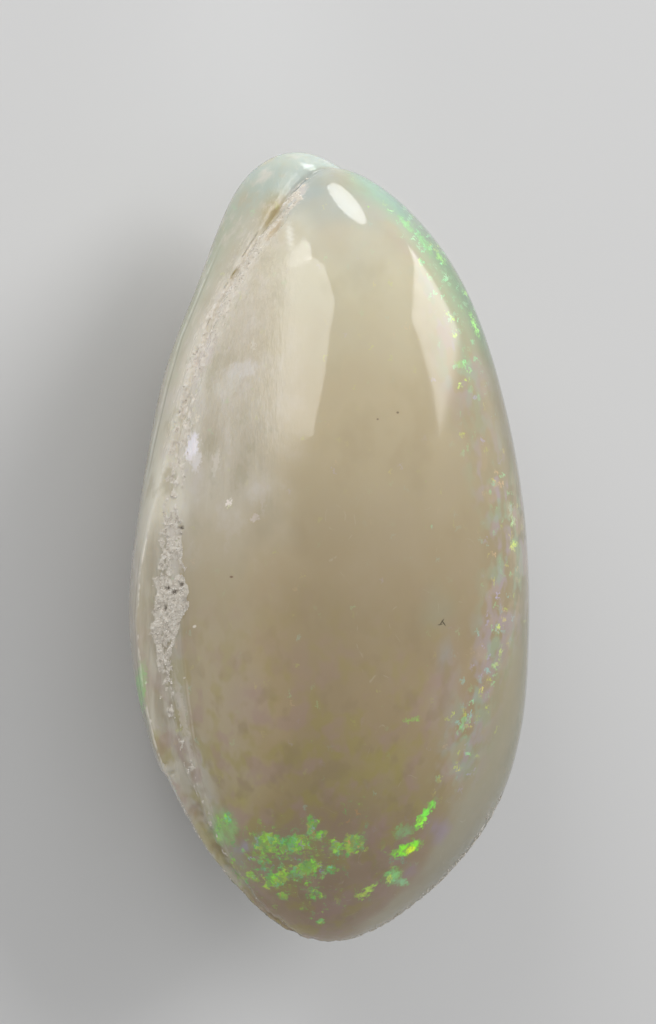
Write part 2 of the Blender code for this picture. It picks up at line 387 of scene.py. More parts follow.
# The chalk's cover, ragged where it ends.
middle_of, half, left = (np.interp(seen_v, CHALK[:, 0], CHALK[:, k]) for k in (1, 2, 3))
ragged = grain(points, 0.5, 3.0, near) * 0.22 + grain(points, 0.22, 9.0, near) * 0.14
inside = half - np.abs(off_seam - middle_of) + ragged
broken = grain(points, 0.4, 17.0, near) * 0.9 + grain(points, 0.17, 29.0, near) * 0.5
chalk = smooth(inside, -0.03, 0.12) * smooth(broken, 0.75 - 1.7 * left, 1.1 - 1.7 * left)
chalk *= hinge_side * near
veil = smooth(half * 1.2 + 0.5 + ragged * 1.6 - np.abs(off_seam - middle_of), -0.1, 0.9)
veil *= hinge_side * smooth(seen_v, -1.0, 4.0) * smooth(left, 0.1, 0.6)

# The hollows, looked at from the camera's side only.
pit = np.zeros(len(points))
dents = np.zeros(len(points))
for u, v, long, wide, turned, depth in HOLLOWS:
    out = far_out(seen_u - u, seen_v - v, long, wide, turned)
    dent = smooth(out + ragged * 0.8, 1.25, 0.35) * (facing > 0) * near
    dents += dent * depth
    pit = np.maximum(pit, dent)

# What wear, breaks and the chalk's grains do to the surface.
relief = 0.018 * grain(points, 3.5, 5.0)
high_end, low_end = smooth(seen_v, 6.0, 11.0), smooth(seen_v, -11.5, -14.5)
smooth_worn = smooth(seen_v, 0.8, 2.2) * smooth(seen_v, 10.5, 8.0) * hinge_side
line_depth = (1 - 0.8 * smooth_worn) * (1 - low_end)
# The lines of the two edges, the crease by the upper beak and the lip of the lower valve.
relief -= (0.03 * ridge(over_upper, 0.2) + 0.05 * ridge(under_lower, 0.13)) * line_depth
relief -= 0.05 * ridge(over_upper, 0.10) * smooth(seen_v, 17.0, 18.0) * hinge_side
lip = hinge_side * smooth(seen_v, 3.2, 1.5)
relief += 0.045 * ridge(under_lower - 0.2, 0.18) * lip
# The chalk's grains, the hollows, and the lumps and nibbles of the seam.
sugar = grain(points, 0.34, 40.0, near) * 0.08 + grain(points, 0.17, 51.0, near) * 0.05
relief += chalk * (0.04 + sugar - 0.12 * np.maximum(0, broken - 0.25)) * (1 - 0.35 * high_end)
relief -= dents
lumps = grain(points, 0.9, 57.0, near) * 0.06 + grain(points, 0.38, 63.0, near) * 0.035
rough_seam = smooth(seen_v, -0.5, 3.0) * smooth(seen_v, 20.0, 18.5) * hinge_side
relief += lumps * rough_seam * ridge(off_seam - 0.25, 0.95)
nibbles = np.maximum(0, grain(points, 0.75, 60.0, near))
nibbles += np.maximum(0, grain(points, 0.4, 71.0, near)) * 0.6
relief -= (0.03 + 0.17 * low_end) * nibbles * ridge(off_seam, 0.55)
# The rim that the camera sees at the low end is chipped, with bits of chalk beside its tip.
low_rim = smooth(np.abs(facing - 0.06), 0.36, 0.06) * smooth(seen_v, -12.0, -14.5)
chips = np.maximum(0, grain(points, 0.5, 91.0, low_rim > 0))
chips += 0.6 * np.maximum(0, grain(points, 0.25, 94.0, low_rim > 0))
relief -= 0.15 * low_rim * chips
bits = smooth(grain(points, 0.30, 97.0, low_rim > 0), 0.12, 0.4) * smooth(seen_v, -19.6, -18.0)
chalk = np.maximum(chalk, smooth(low_rim, 0.3, 0.9) * 0.7 * bits)
# A piece broken from the lower valve at the low end, and the worn side above the seam.
scar = smooth(seen_v, -11.8, -12.3) * smooth(seen_v, -16.5, -13.0)
relief -= 0.15 * scar * smooth(under_lower, -0.4, 0.1) * smooth(under_lower, 4.0, 1.5) * hinge_side
worn = 0.05 * grain(points * (1, 0.35, 1), 0.6, 80.0, near) * hinge_side
relief += worn * smooth(over_upper, 2.4, 0.2) * smooth(under_lower, 1.2, 0.0)
# A slack step by the upper beak, which bends the edge of the soft box mirrored there.
STEP_AT, STEP_WAY = (-0.63, 14.8), (0.868, 0.497)
step_u, step_v = seen_u - STEP_AT[0], seen_v - STEP_AT[1]
past_step = step_u * STEP_WAY[0] + step_v * STEP_WAY[1]
on_step = step_u * STEP_WAY[1] - step_v * STEP_WAY[0]
stepped = smooth(past_step, -0.1, 1.2) * smooth(past_step, 5.5, 1.8)
stepped *= smooth(on_step, -3.6, -2.2) * smooth(on_step, 2.9, 1.9)
relief -= 0.12 * stepped * (over_upper > 0) * (facing > 0)

placed = points + normals * relief[:, None] + np.array(middle)
placed[:, 2] = np.maximum(placed[:, 2], 0.0)

# Faces from ring to ring. A ring with half its neighbour's points takes three triangles to
# two of that one's.
kept = {}
corners = []


def corner(ring, column):
    """The number of a grid point in the mesh, given as it is first used."""
    place = ring * COLUMNS + column % COLUMNS
    if place not in kept:
        kept[place] = len(kept)
    return kept[place]


for ring in range(len(rings) - 1):
    below, above = spacing[ring], spacing[ring + 1]
    widest = max(below, above)
    for k in range(0, COLUMNS, widest):
        near_low, near_high = corner(ring, k), corner(ring + 1, k)
        far_low, far_high = corner(ring, k + widest), corner(ring + 1, k + widest)
        if below == above:
            corners.append((near_low, near_high, far_high, far_low))
        elif below < above:
            half_way = corner(ring, k + widest // 2)
            corners += [
                (near_low, near_high, half_way), (half_way, near_high, far_high),
                (half_way, far_high, far_low),
            ]
        else:
            half_way = corner(ring + 1, k + widest // 2)
            corners += [
                (near_high, half_way, near_low), (near_low, half_way, far_low),
                (half_way, far_high, far_low),
            ]
lowest = len(kept)
highest = lowest + 1
for k in range(0, COLUMNS, spacing[0]):
    far = k + spacing[0]
    corners.append((lowest, corner(0, k), corner(0, far)))
    corners.append((corner(len(rings) - 1, k), highest, corner(len(rings) - 1, far)))

order = np.array(list(kept))
crowns = np.array((LOWER_CROWN, UPPER_CROWN)) + np.array(middle)
crowns[0, 2] = 0.0
mesh = bpy.data.meshes.new("clam")
mesh.from_pydata((np.concatenate((placed[order], crowns)) * MM).tolist(), [], corners)
mesh.shade_smooth()
line_off = seen_u - np.interp(seen_v, *COLOUR_LINE.T)
groove_off = seen_u - np.interp(seen_v, *GROOVE.T)


def tones_at(table, height):
    """Colours at these heights in the picture, from one of the tables above."""
    return np.column_stack([np.interp(height, table[:, 0], table[:, k]) for k in (1, 2, 3)])


def tinted(colours, amount, colour):
    """Colours, each moved by its amount towards another one."""
    return colours + (np.asarray(colour) - colours) * amount[:, None]


# The stone's own colour where light soaks through it, with painted light added on the hinge's
# side. The upper valve is amber and clearest low down, milky on the hinge's side and past its
# line of colour, and mint by the beaks.
soft_u = seen_u + grain(points, 1.6, 110.0) * 0.7
soft_v = seen_v + grain(points, 1.9, 120.0) * 0.9
line_soft = line_off + grain(points, 1.1, 130.0) * 0.35
tint = tones_at(UPPER_TONES, soft_v)
olive = smooth(soft_u, -2.6, -5.8) * smooth(soft_v, 3.0, -1.0)
tint = tinted(tint, olive * 0.8, (0.45, 0.385, 0.262))
# Painted light: the hinge's side is made lighter to make up for the weaker light that reaches it.
tint *= 1 + 0.15 * (smooth(soft_u, -0.5, -4.0) * (1 - olive))[:, None]
free_side = np.maximum(
    smooth(line_soft, -0.5, 1.0), smooth(line_soft, -3.4, 0.8) * smooth(soft_v, -5.0, 2.0) * 0.8
)
tint = tinted(tint, free_side * 0.9, tones_at(FREE_SIDE_TONES, soft_v))
milk = smooth(soft_u, -0.8, -4.8) * smooth(soft_v, -2.5, 3.5) * smooth(seen_v, 20.5, 18.0)
tint = tinted(tint, milk, (0.55, 0.505, 0.41))
mint = smooth(facing, 0.85, 0.15) * smooth(soft_v, 7.5, 13.0) * smooth(line_soft, -2.2, -0.2)
mint *= smooth(over_upper, -0.2, 0.6) * smooth(seen_u, 0.0, 2.5)
mint *= 1 - 0.6 * smooth(facing, -0.05, -0.5)
tint = tinted(tint, mint * 0.92, (0.26, 0.415, 0.265))
tint = tinted(tint, mint * smooth(seen_v, 14.5, 18.0) * 0.7, (0.28, 0.40, 0.385))
low_ground = smooth(far_out(soft_u + 0.6, soft_v + 17.2, 6.8, 3.6, 0), 1.15, 0.6)
low_ground *= smooth(line_soft, 0.9, 0.0)
tint = tinted(tint, low_ground * 0.8, (0.325, 0.238, 0.165))
# The lower valve, paler by the seam and browner underneath, and the bare band of the seam.
lower_tint = tones_at(LOWER_TONES, soft_v)
by_seam = smooth(under_lower, 3.2, 0.2) * smooth(seen_v, 4.0, 9.0) * smooth(seen_v, 19.0, 17.0)
lower_tint = tinted(lower_tint, by_seam * 0.75, (0.52, 0.47, 0.385))
lower_tint = tinted(lower_tint, smooth(under_lower, 4.0, 9.0) * 0.7, (0.40, 0.35, 0.25))
tint += (lower_tint - tint) * smooth(under_lower, -0.12, 0.12)[:, None]
band = smooth(under_lower, 0.05, -0.12) * smooth(over_upper, 0.15, -0.25) * hinge_side
band *= smooth(seen_v, 2.6, 0.8)
tint = tinted(tint, band, (0.44, 0.405, 0.325))
# Whitened places along the seam, from its middle to the broken lip at the low end. The lip is partly
# whitish chalk and partly painted light, lifted to offset the shade it lies in.
white_side = smooth(np.abs(off_seam - 0.2), 2.2, 0.6) * hinge_side
white_side *= smooth(seen_v, -0.5, 2.2) * smooth(seen_v, 13.0, 9.0)
tint = tinted(tint, white_side * 0.85, (0.71, 0.68, 0.575))
whitened_and_lit_lip = smooth(under_lower, 4.0, 1.0) * smooth(under_lower, -0.4, 0.0) * smooth(seen_v, -10.5, -13.0)
whitened_and_lit_lip *= smooth(seen_v, -18.0, -15.2) * hinge_side
# Painted light on the lip, over its own whitish colour.
tint = tinted(tint, whitened_and_lit_lip, (0.84, 0.82, 0.75))
pale_side = smooth(over_upper, 1.3, 0.1) * smooth(seen_v, -9.0, -11.5) * smooth(seen_v, -18.5, -16.0)
tint = tinted(tint, pale_side * smooth(under_lower, 0.5, -0.1) * hinge_side * 0.85, (0.50, 0.47, 0.39))
# Painted shade: the free side is darkened towards the rim that the camera sees, and the hinge's side a
# little along its high rim.
rim = smooth(facing, 0.56, 0.22) * 0.65 + smooth(facing, 0.25, 0.0) * 0.35
rim *= smooth(facing, -0.35, -0.02) * smooth(seen_u, 2.0, 6.0) * smooth(seen_v, -21.0, -17.0)
rim *= over_upper > 0
# painted shade towards the grazing rim of the free side
tint *= 1 - np.array((0.62, 0.58, 0.64)) * rim[:, None]
# painted shade along the high rim on the hinge's side
high_rim_shade = smooth(facing, 0.34, 0.0) * smooth(facing, -0.4, 0.0) * smooth(seen_v, -3.0, 2.0)
tint *= 1 - 0.3 * (high_rim_shade * (1 - rim))[:, None]
# A veil of chalk dust by the seam, the chipped rim, and clear amber in the hollow by the beaks.
tint = tinted(tint, veil * 0.7 * smooth(seen_v, 19.0, 15.0), (0.64, 0.60, 0.515))
low_edge = low_rim * smooth(grain(points, 0.7, 140.0), -0.4, 0.4)
tint = tinted(tint, low_edge * 0.6, (0.34, 0.35, 0.28))
amber = smooth(far_out(seen_u + 2.80, seen_v - 17.3, 1.0, 1.45, 0), 1.35, 0.3)
amber *= hinge_side * smooth(off_seam, 0.6, 0.0)
tint = tinted(tint, amber * (1 - chalk) * 0.9, (0.41, 0.34, 0.185))

# Where the opal plays green among the mauve at the low end.
ripple_u = seen_u + grain(points, 0.9, 150.0, seen_v < -8) * 0.35
ripple_v = seen_v + grain(points, 0.9, 160.0, seen_v < -8) * 0.30


def patch(u, v, long, wide, turned):
    """1 in the middle of an oval that the camera sees at (u, v), falling softly to 0 past it."""
    return smooth(far_out(ripple_u - u, ripple_v - v, long, wide, turned), 1.5, 0.3) * (facing > 0)


green = np.zeros(len(points))
for *place, amount in PLAY:
    green = np.maximum(green, amount * patch(*place))
for *place, amount, red, mid, blue in STAINS_AND_HIGHLIGHT:
    tint = tinted(tint, amount * patch(*place), (red, mid, blue))

# How thick the crumbs of chalk lie, and what else the material reads from the mesh.
crumbs = smooth(chalk, 0.35, 0.8) * (0.35 + 0.65 * smooth(seen_v, 4.0, 0.0))
crumbs += smooth(low_rim, 0.4, 1.0) * 0.35
at_crowns = {"facing": (-back.z, back.z), "over_upper": (-40, 18), "under_lower": (18, -40)}
for name, value in (
    ("crumbs", crumbs), ("chalk", chalk), ("pit", pit), ("facing", facing), ("over_upper", over_upper),
    ("under_lower", under_lower), ("line_off", line_off), ("groove_off", groove_off),
    ("hinge_side", hinge_side), ("milk", milk), ("mint", mint), ("band", band), ("green", green),
):
    values = np.append(value[order], at_crowns.get(name, (0.0, 0.0)))
    stored = mesh.attributes.new(name, "FLOAT", "POINT")
    stored.data.foreach_set("value", values.astype(np.float32))
crown_tints = [tones_at(table, np.zeros(1)) for table in (LOWER_TONES, UPPER_TONES)]
tint = np.concatenate((tint[order], *crown_tints))
stored = mesh.attributes.new("tint", "FLOAT_COLOR", "POINT")
stored.data.foreach_set("color", np.column_stack((tint, np.ones(len(tint)))).astype(np.float32).ravel())
clam = bpy.data.objects.new("clam", mesh)
bpy.context.scene.collection.objects.link(clam)


class Shade:
    """A socket of a node tree. Sums, products and the like of them make the nodes."""

    def __init__(self, tree, socket=None):
        self.tree, self.socket = tree, socket

    def node(self, kind, settings=None, values=None, output=0):
        made = self.tree.nodes.new(kind)
        for name, value in (settings or {}).items():
            setattr(made, name, value)
        for key, value in (values or {}).items():
            if isinstance(value, Shade):
                self.tree.links.new(value.socket, made.inputs[key])
            else:
                made.inputs[key].default_value = value
        return Shade(self.tree, made.outputs[output] if made.outputs else None)

    def maths(self, operation, *values):
        return self.node("ShaderNodeMath", {"operation": operation}, dict(enumerate(values)))

    def __add__(self, other):
        return self.maths("ADD", self, other)

    def __sub__(self, other):
        return self.maths("SUBTRACT", self, other)

    def __rsub__(self, other):
        return self.maths("SUBTRACT", other, self)

    def __mul__(self, other):
        return self.maths("MULTIPLY", self, other)

    __radd__, __rmul__ = __add__, __mul__

    def vectors(self, operation, *values, output=0):
        return self.node("ShaderNodeVectorMath", {"operation": operation}, dict(enumerate(values)), output)

    def step(self, low, high, most=1.0):
        """0 at low and below, its most at high and above, smooth between; falling if low > high."""
        return self.node(
            "ShaderNodeMapRange",
            {"interpolation_type": "SMOOTHSTEP"},
            {"Value": self, "From Min": low, "From Max": high, "To Max": most},
        )

    def peak(self, middle, half):
        """1 at the middle, 0 at half a width from it."""
        return self.maths("ABSOLUTE", self - middle).step(half, 0.0)

    def blend(self, first, second):
        """first where this is 0 and second where it is 1."""
        return self.node(
            "ShaderNodeMix",
            {"data_type": "RGBA", "clamp_factor": True},
            {0: self, 6: first, 7: second},
            2,
        )

    def noise(self, scale, detail, rough, colour=False):
        return self.node(
            "ShaderNodeTexNoise", {},
            {"Vector": self, "Scale": scale, "Detail": detail, "Roughness": rough},
            "Color" if colour else "Fac",
        )

    def ramp(self, stops, how="LINEAR"):
        """A colour from stops of (place, colour)."""
        made = self.node("ShaderNodeValToRGB", {}, {"Fac": self})
        table = made.socket.node.color_ramp
        table.interpolation = how
        while len(table.elements) < len(stops):
            table.elements.new(0.5)
        for element, (place, colour) in zip(table.elements, stops):
            element.position = place
            element.color = (*colour, 1)
        return made


opal = bpy.data.materials.new("milky_opal")
opal.use_nodes = True
opal.cycles.emission_sampling = "NONE"
opal.node_tree.nodes.clear()
start = Shade(opal.node_tree)


def layer(name):
    """What is stored on the mesh under this name."""
    return start.node("ShaderNodeAttribute", {"attribute_name": name}, output="Fac")


# Places as the camera sees them, in mm right of, above and before the middle of the seam.
in_object = start.node("ShaderNodeTexCoord", output="Object")


def view_of(x=1.0, y=1.0, z=1.0, at=(0, 0, 0)):
    """Places in the camera's directions, stretched, for a texture."""
    return start.node(
        "ShaderNodeMapping",
        {"vector_type": "TEXTURE"},
        {
            "Vector": in_object,
            "Location": (middle + right * at[0] + up * at[1] + back * at[2]) * MM,
            "Rotation": Matrix((right, up, back)).transposed().to_euler(),
            "Scale": (MM / x, MM / y, MM / z),
        },
    )


stone = view_of()
rips = [view_of(at=(k * 37, 3, 9)).noise(4.5, 2, 0.65) for k in (0, 1)]
u, v = (start.node("ShaderNodeSeparateXYZ", {}, {"Vector": stone}, axis) for axis in "XY")
chalky, hollow, towards = layer("chalk"), layer("pit"), layer("facing")
over, under, hinge = layer("over_upper"), layer("under_lower"), layer("hinge_side")
off_line, off_groove = layer("line_off"), layer("groove_off")
milk, mint, band, green = layer("milk"), layer("mint"), layer("band"), layer("green")
front = towards.step(-0.05, 0.12)
unseen = (1 - front) * 90  # takes the far side out of the reach of every spot
seen = start.node("ShaderNodeCombineXYZ", {}, {"X": u, "Y": v, "Z": unseen})
# The same places, shifted a little at random, so that what is laid out by them has torn edges.
torn_seen = start.node(
    "ShaderNodeCombineXYZ", {},
    {"X": u + (rips[0] - 0.5) * 0.75, "Y": v + (rips[1] - 0.5) * 0.75, "Z": unseen},
)


def spot(where, u, v, long, wide, turned, soft, most):
    """Up to its most inside an oval that the camera sees at (u, v), and 0 outside it."""
    off = start.vectors("SUBTRACT", where, (u, v, 0))
    angle = math.radians(turned)
    ways = (
        (math.cos(angle) / long, math.sin(angle) / long, 1),
        (-math.sin(angle) / wide, math.cos(angle) / wide, 0),
    )
    a, b = (start.vectors("DOT_PRODUCT", off, way, output="Value") for way in ways)
    return start.maths("MULTIPLY_ADD", a, a, b * b).step((1 + soft) ** 2, max(0.0, 1 - soft) ** 2, most)


# Clouds and upright streaks in the milk, and a faint unevenness everywhere.
tone = start.node("ShaderNodeAttribute", {"attribute_name": "tint"}, output="Color")
cloud = view_of(0.6, 0.45, 0.6).noise(1.0, 4, 0.62)
streak = view_of(2.4, 0.28, 2.4).noise(1.0, 3, 0.62)
milky = start.maths("MAXIMUM", milk, under.step(-0.1, 0.4) * (0.3 + hinge * 0.6))
tone = (cloud.step(0.50, 0.68) * milky * 0.6).blend(tone, (0.62, 0.58, 0.53, 1))
tone = (cloud.step(0.47, 0.33) * milky * 0.55).blend(tone, (0.44, 0.405, 0.30, 1))
high_milk = milk * v.step(-1.0, 6.0)
tone = (streak.step(0.54, 0.72) * high_milk * 0.5).blend(tone, (0.62, 0.575, 0.50, 1))
tone = (streak.step(0.45, 0.30) * high_milk * 0.35).blend(tone, (0.45, 0.40, 0.30, 1))
haze = view_of(0.3, 0.2, 0.3).noise(1.0, 3, 0.55)
tone = (haze.step(0.45, 0.7) * 0.22).blend(tone, (0.44, 0.37, 0.27, 1))
tone = (haze.step(0.5, 0.3) * 0.18).blend(tone, (0.29, 0.225, 0.13, 1))
tone = (streak.step(0.42, 0.70) * band * 0.5).blend(tone, (0.62, 0.59, 0.50, 1))
shades = view_of(0.8, 0.6, 0.8).noise(1.0, 2, 0.55, True)
shade_a, shade_b, shade_c = (
    start.node("ShaderNodeSeparateColor", {}, {"Color": shades}, part) for part in ("Red", "Green", "Blue")
)
low_body = v.step(0.0, -12.0) * off_line.step(1.0, -1.5) * towards.step(0.1, 0.5)
tone = (shade_a.step(0.47, 0.64) * low_body * 0.55).blend(tone, (0.36, 0.31, 0.105, 1))
tone = (shade_b.step(0.50, 0.66) * low_body * 0.50).blend(tone, (0.39, 0.275, 0.245, 1))
tone = (shade_c.step(0.52, 0.68) * low_body * 0.45).blend(tone, (0.30, 0.235, 0.135, 1))

# White flaws and milky patches on the hinge's side: right, above, half length, half width,
# turned, amount and colour.
for *place, amount, colour in (
    (-4.55, 9.15, 0.75, 0.36, 15, 0.5, (0.66, 0.64, 0.62)),
    (-5.35, 8.35, 0.75, 0.42, 30, 0.4, (0.64, 0.62, 0.56)),
    (-7.20, 5.15, 0.62, 0.30, 80, 1.0, (0.86, 0.83, 0.86)),
    (-6.95, 4.35, 0.45, 0.20, 75, 0.7, (0.74, 0.71, 0.70)),
    (-5.90, 4.30, 0.60, 0.16, 80, 0.5, (0.68, 0.64, 0.58)),
    (-5.20, 2.25, 0.22, 0.09, 50, 0.9, (0.84, 0.78, 0.72)),
    (-3.93, 1.42, 0.24, 0.13, 20, 0.5, (0.70, 0.63, 0.61)),
    (-3.45, 2.75, 0.95, 0.10, 88, 0.35, (0.58, 0.52, 0.46)),
    (-4.02, 10.45, 0.24, 0.10, 85, 0.5, (0.70, 0.66, 0.57)),
    (-6.93, 6.62, 0.14, 0.09, 80, 0.8, (0.78, 0.72, 0.60)),
    (-6.60, 9.90, 1.10, 0.38, 62, 0.5, (0.64, 0.57, 0.55)),
    (-1.65, 18.60, 0.60, 0.30, 60, 0.5, (0.64, 0.57, 0.54)),
    (-8.3, 0.7, 0.5, 0.28, 70, 0.5, (0.66, 0.60, 0.55)),
    (-8.05, -1.0, 0.55, 0.30, 80, 0.5, (0.62, 0.57, 0.50)),
    (-7.7, -8.9, 1.9, 0.16, 100, 0.5, (0.60, 0.54, 0.47)),
):
    tone = spot(torn_seen, *place, 0.55, amount).blend(tone, (*colour, 1))

# The pale broken lip of the lower valve, the worn upper edge, and the groove, painted as a dark line of
# shade with a painted highlight along its rim.
broken_line = view_of(2.2, 1.2, 2.2).noise(1.0, 2, 0.6)
lip_line = under.peak(0.06, 0.13) * hinge * v.step(-13.5, -12.0) * v.step(2.0, 0.6)
lip_line = lip_line * broken_line.step(0.42, 0.6)
tone = (lip_line * 0.8).blend(tone, (0.74, 0.70, 0.62, 1))
edge_line = over.peak(0.05, 0.14) * hinge * v.step(-15.0, -13.5) * v.step(-5.5, -8.0)
edge_line = edge_line * broken_line.step(0.6, 0.45)
tone = (edge_line * 0.55).blend(tone, (0.56, 0.50, 0.41, 1))
# painted shade where the groove runs
groove = off_groove.peak(0.0, 0.07) * v.step(3.0, 4.5) * v.step(17.0, 13.5) * under.step(0.3, 0.8) * front
tone = (groove * 0.5).blend(tone, (0.24, 0.25, 0.19, 1))
# painted highlight along the groove's rim
rim_light = off_groove.peak(-0.12, 0.06) * v.step(3.0, 4.5) * v.step(17.0, 13.5) * under.step(0.3, 0.8)
tone = (rim_light * broken_line.step(0.35, 0.55) * 0.6).blend(tone, (0.74, 0.76, 0.68, 1))
# Dark and pale specks: right, above, half length, half width, turned and colour.
for *place, colour in (
    (5.80, -3.95, 0.17, 0.032, 55, (0.10, 0.08, 0.05)), (5.90, -4.02, 0.15, 0.032, 125, (0.10, 0.08, 0.05)),
    (5.72, -4.08, 0.12, 0.030, 10, (0.14, 0.11, 0.07)), (2.46, 6.55, 0.05, 0.045, 0, (0.24, 0.19, 0.13)),
    (3.50, 6.9, 0.06, 0.05, 0, (0.19, 0.15, 0.10)), (-5.10, -1.6, 0.08, 0.05, 0, (0.22, 0.14, 0.09)),
    (-7.05, -4.2, 0.09, 0.06, 30, (0.76, 0.70, 0.60)), (-7.60, -6.9, 0.06, 0.04, 30, (0.66, 0.61, 0.53)),
    (-9.65, -7.2, 0.07, 0.045, 70, (0.68, 0.65, 0.57)), (-9.4, -9.2, 0.08, 0.045, 100, (0.70, 0.66, 0.58)),
    (-4.4, 14.55, 0.09, 0.08, 0, (0.16, 0.13, 0.11)),
):
    tone = spot(seen, *place, 0.5, 0.85).blend(tone, (*colour, 1))
# Faint curved scratches low on the upper valve, and the deep amber and olive of the hollows.
arcs = view_of(0.30, 0.22, 0.3).noise(1.0, 1, 0.5)
scratch = arcs.peak(0.5, 0.0025) * broken_line.step(0.50, 0.62) * v.step(4.0, 0.0) * u.step(-4.0, -1.0)
tone = (scratch * 0.28).blend(tone, (0.58, 0.52, 0.42, 1))
deep_amber = spot(torn_seen, -2.95, 16.70, 0.55, 0.22, 55, 0.7, 0.55)
tone = deep_amber.blend(tone, (0.40, 0.28, 0.12, 1))
dark_hollow = hollow * v.step(15.9, 15.3)
tone = (dark_hollow * v.step(13.2, 13.8)).blend(tone, (0.34, 0.28, 0.11, 1))

# Flashes of pure colour, laid out as the flaws are, that also glow as painted light. Where they
# cross, the last one's colour shows. The cells' grain lets them sparkle.
grains = view_of(3.4, 2.0, 3.4).noise(1.0, 3, 0.75)
sparkle = grains.step(0.30, 0.62)
flash, flash_colour = 0.0, (0.2, 0.7, 0.1, 1)
for *place, amount, colour in (
    (3.85, -14.95, 0.50, 0.30, 20, 0.5, (0.24, 0.42, 0.34)),
    (4.95, -14.12, 0.84, 0.20, 56, 1.0, (0.20, 0.76, 0.07)),
    (4.78, -14.50, 0.32, 0.20, 50, 1.0, (0.30, 0.84, 0.06)),
    (-0.90, -19.35, 0.14, 0.10, 0, 0.6, (0.27, 0.14, 0.27)),
    (4.02, -15.92, 0.74, 0.27, 22, 1.0, (0.24, 0.80, 0.03)),
    (4.20, -15.98, 0.26, 0.15, 40, 1.0, (0.62, 0.90, 0.02)),
    (3.32, -17.40, 0.42, 0.36, 60, 0.75, (0.25, 0.62, 0.26)),
    (3.75, -17.75, 0.36, 0.18, -20, 0.65, (0.26, 0.56, 0.38)),
    (3.12, -17.5, 0.24, 0.09, 70, 0.9, (0.56, 0.76, 0.10)),
    (2.10, -18.05, 0.40, 0.15, 45, 0.85, (0.46, 0.66, 0.10)),
    (1.65, -18.4, 0.30, 0.13, 5, 0.8, (0.50, 0.58, 0.10)),
    (4.19, -9.0, 0.38, 0.10, 12, 0.6, (0.38, 0.52, 0.14)),
    (-0.47, -19.8, 0.18, 0.14, 0, 0.7, (0.22, 0.56, 0.22)),
    (-10.05, -7.9, 1.5, 0.30, 82, 0.42, (0.15, 0.38, 0.23)),
    (-5.5, -14.85, 0.55, 0.75, 0, 0.55, (0.33, 0.45, 0.25)),
    (9.65, 0.0, 0.26, 0.11, 85, 0.9, (0.70, 0.78, 0.08)),
    (9.62, 1.3, 0.22, 0.10, 90, 0.7, (0.60, 0.78, 0.50)),
    (9.50, 1.9, 0.36, 0.10, 90, 0.6, (0.48, 0.42, 0.70)),
    (8.75, -4.35, 0.24, 0.11, 80, 0.6, (0.52, 0.46, 0.74)),
    (8.95, -5.6, 0.34, 0.08, 78, 0.8, (0.60, 0.70, 0.12)),
    (8.70, -6.3, 0.22, 0.09, 40, 0.7, (0.62, 0.68, 0.12)),
    (6.98, -9.3, 0.40, 0.14, 75, 0.7, (0.30, 0.62, 0.38)),
    (7.25, -10.9, 0.13, 0.09, 0, 0.9, (0.24, 0.80, 0.22)),
    (3.2, 17.6, 0.20, 0.05, -15, 0.7, (0.55, 0.85, 0.50)),
    (4.0, 16.9, 0.50, 0.12, -50, 0.5, (0.34, 0.74, 0.40)),
    (4.95, 15.9, 0.60, 0.14, -58, 0.42, (0.32, 0.72, 0.36)),
    (5.85, 15.1, 0.34, 0.13, -55, 0.55, (0.46, 0.78, 0.22)),
    (7.15, 13.3, 0.16, 0.12, -60, 0.6, (0.56, 0.82, 0.20)),
    (7.6, 11.6, 0.62, 0.07, -68, 0.8, (0.40, 0.86, 0.22)),
    (6.95, 9.5, 0.36, 0.20, 10, 0.45, (0.42, 0.72, 0.28)),
    (6.80, 8.35, 0.20, 0.06, 40, 0.8, (0.68, 0.74, 0.22)),
):
    mark = spot(torn_seen, *place, 0.45, amount)
    flash_colour = mark.blend(flash_colour, (*colour, 1))
    flash = start.maths("MAXIMUM", mark, flash)
flash = flash * (0.45 + sparkle * 0.55)
tone = flash.blend(tone, flash_colour)
# Painted glow: the flashes give off light of their own colour.
painted_glow = (flash * flash * 0.34).blend((0, 0, 0, 1), flash_colour)

# The chalk: sugary and off-white, browner by the beaks and dark in its pits.
sugar = view_of().noise(3.4, 3, 0.7)
chalk_tone = v.step(0.0, 7.0).blend((0.585, 0.54, 0.465, 1), (0.67, 0.615, 0.53, 1))
chalk_tone = v.step(12.0, 15.5).blend(chalk_tone, (0.56, 0.51, 0.42, 1))
chalk_tone = sugar.step(0.50, 0.68).blend(chalk_tone, (0.74, 0.70, 0.63, 1))
shaded = sugar.step(0.46, 0.34) * (0.55 - v.step(4.0, 9.0) * 0.2)
chalk_tone = shaded.blend(chalk_tone, (0.31, 0.27, 0.225, 1))
chalk_tone = (dark_hollow * v.step(13.0, 12.5)).blend(chalk_tone, (0.22, 0.19, 0.155, 1))

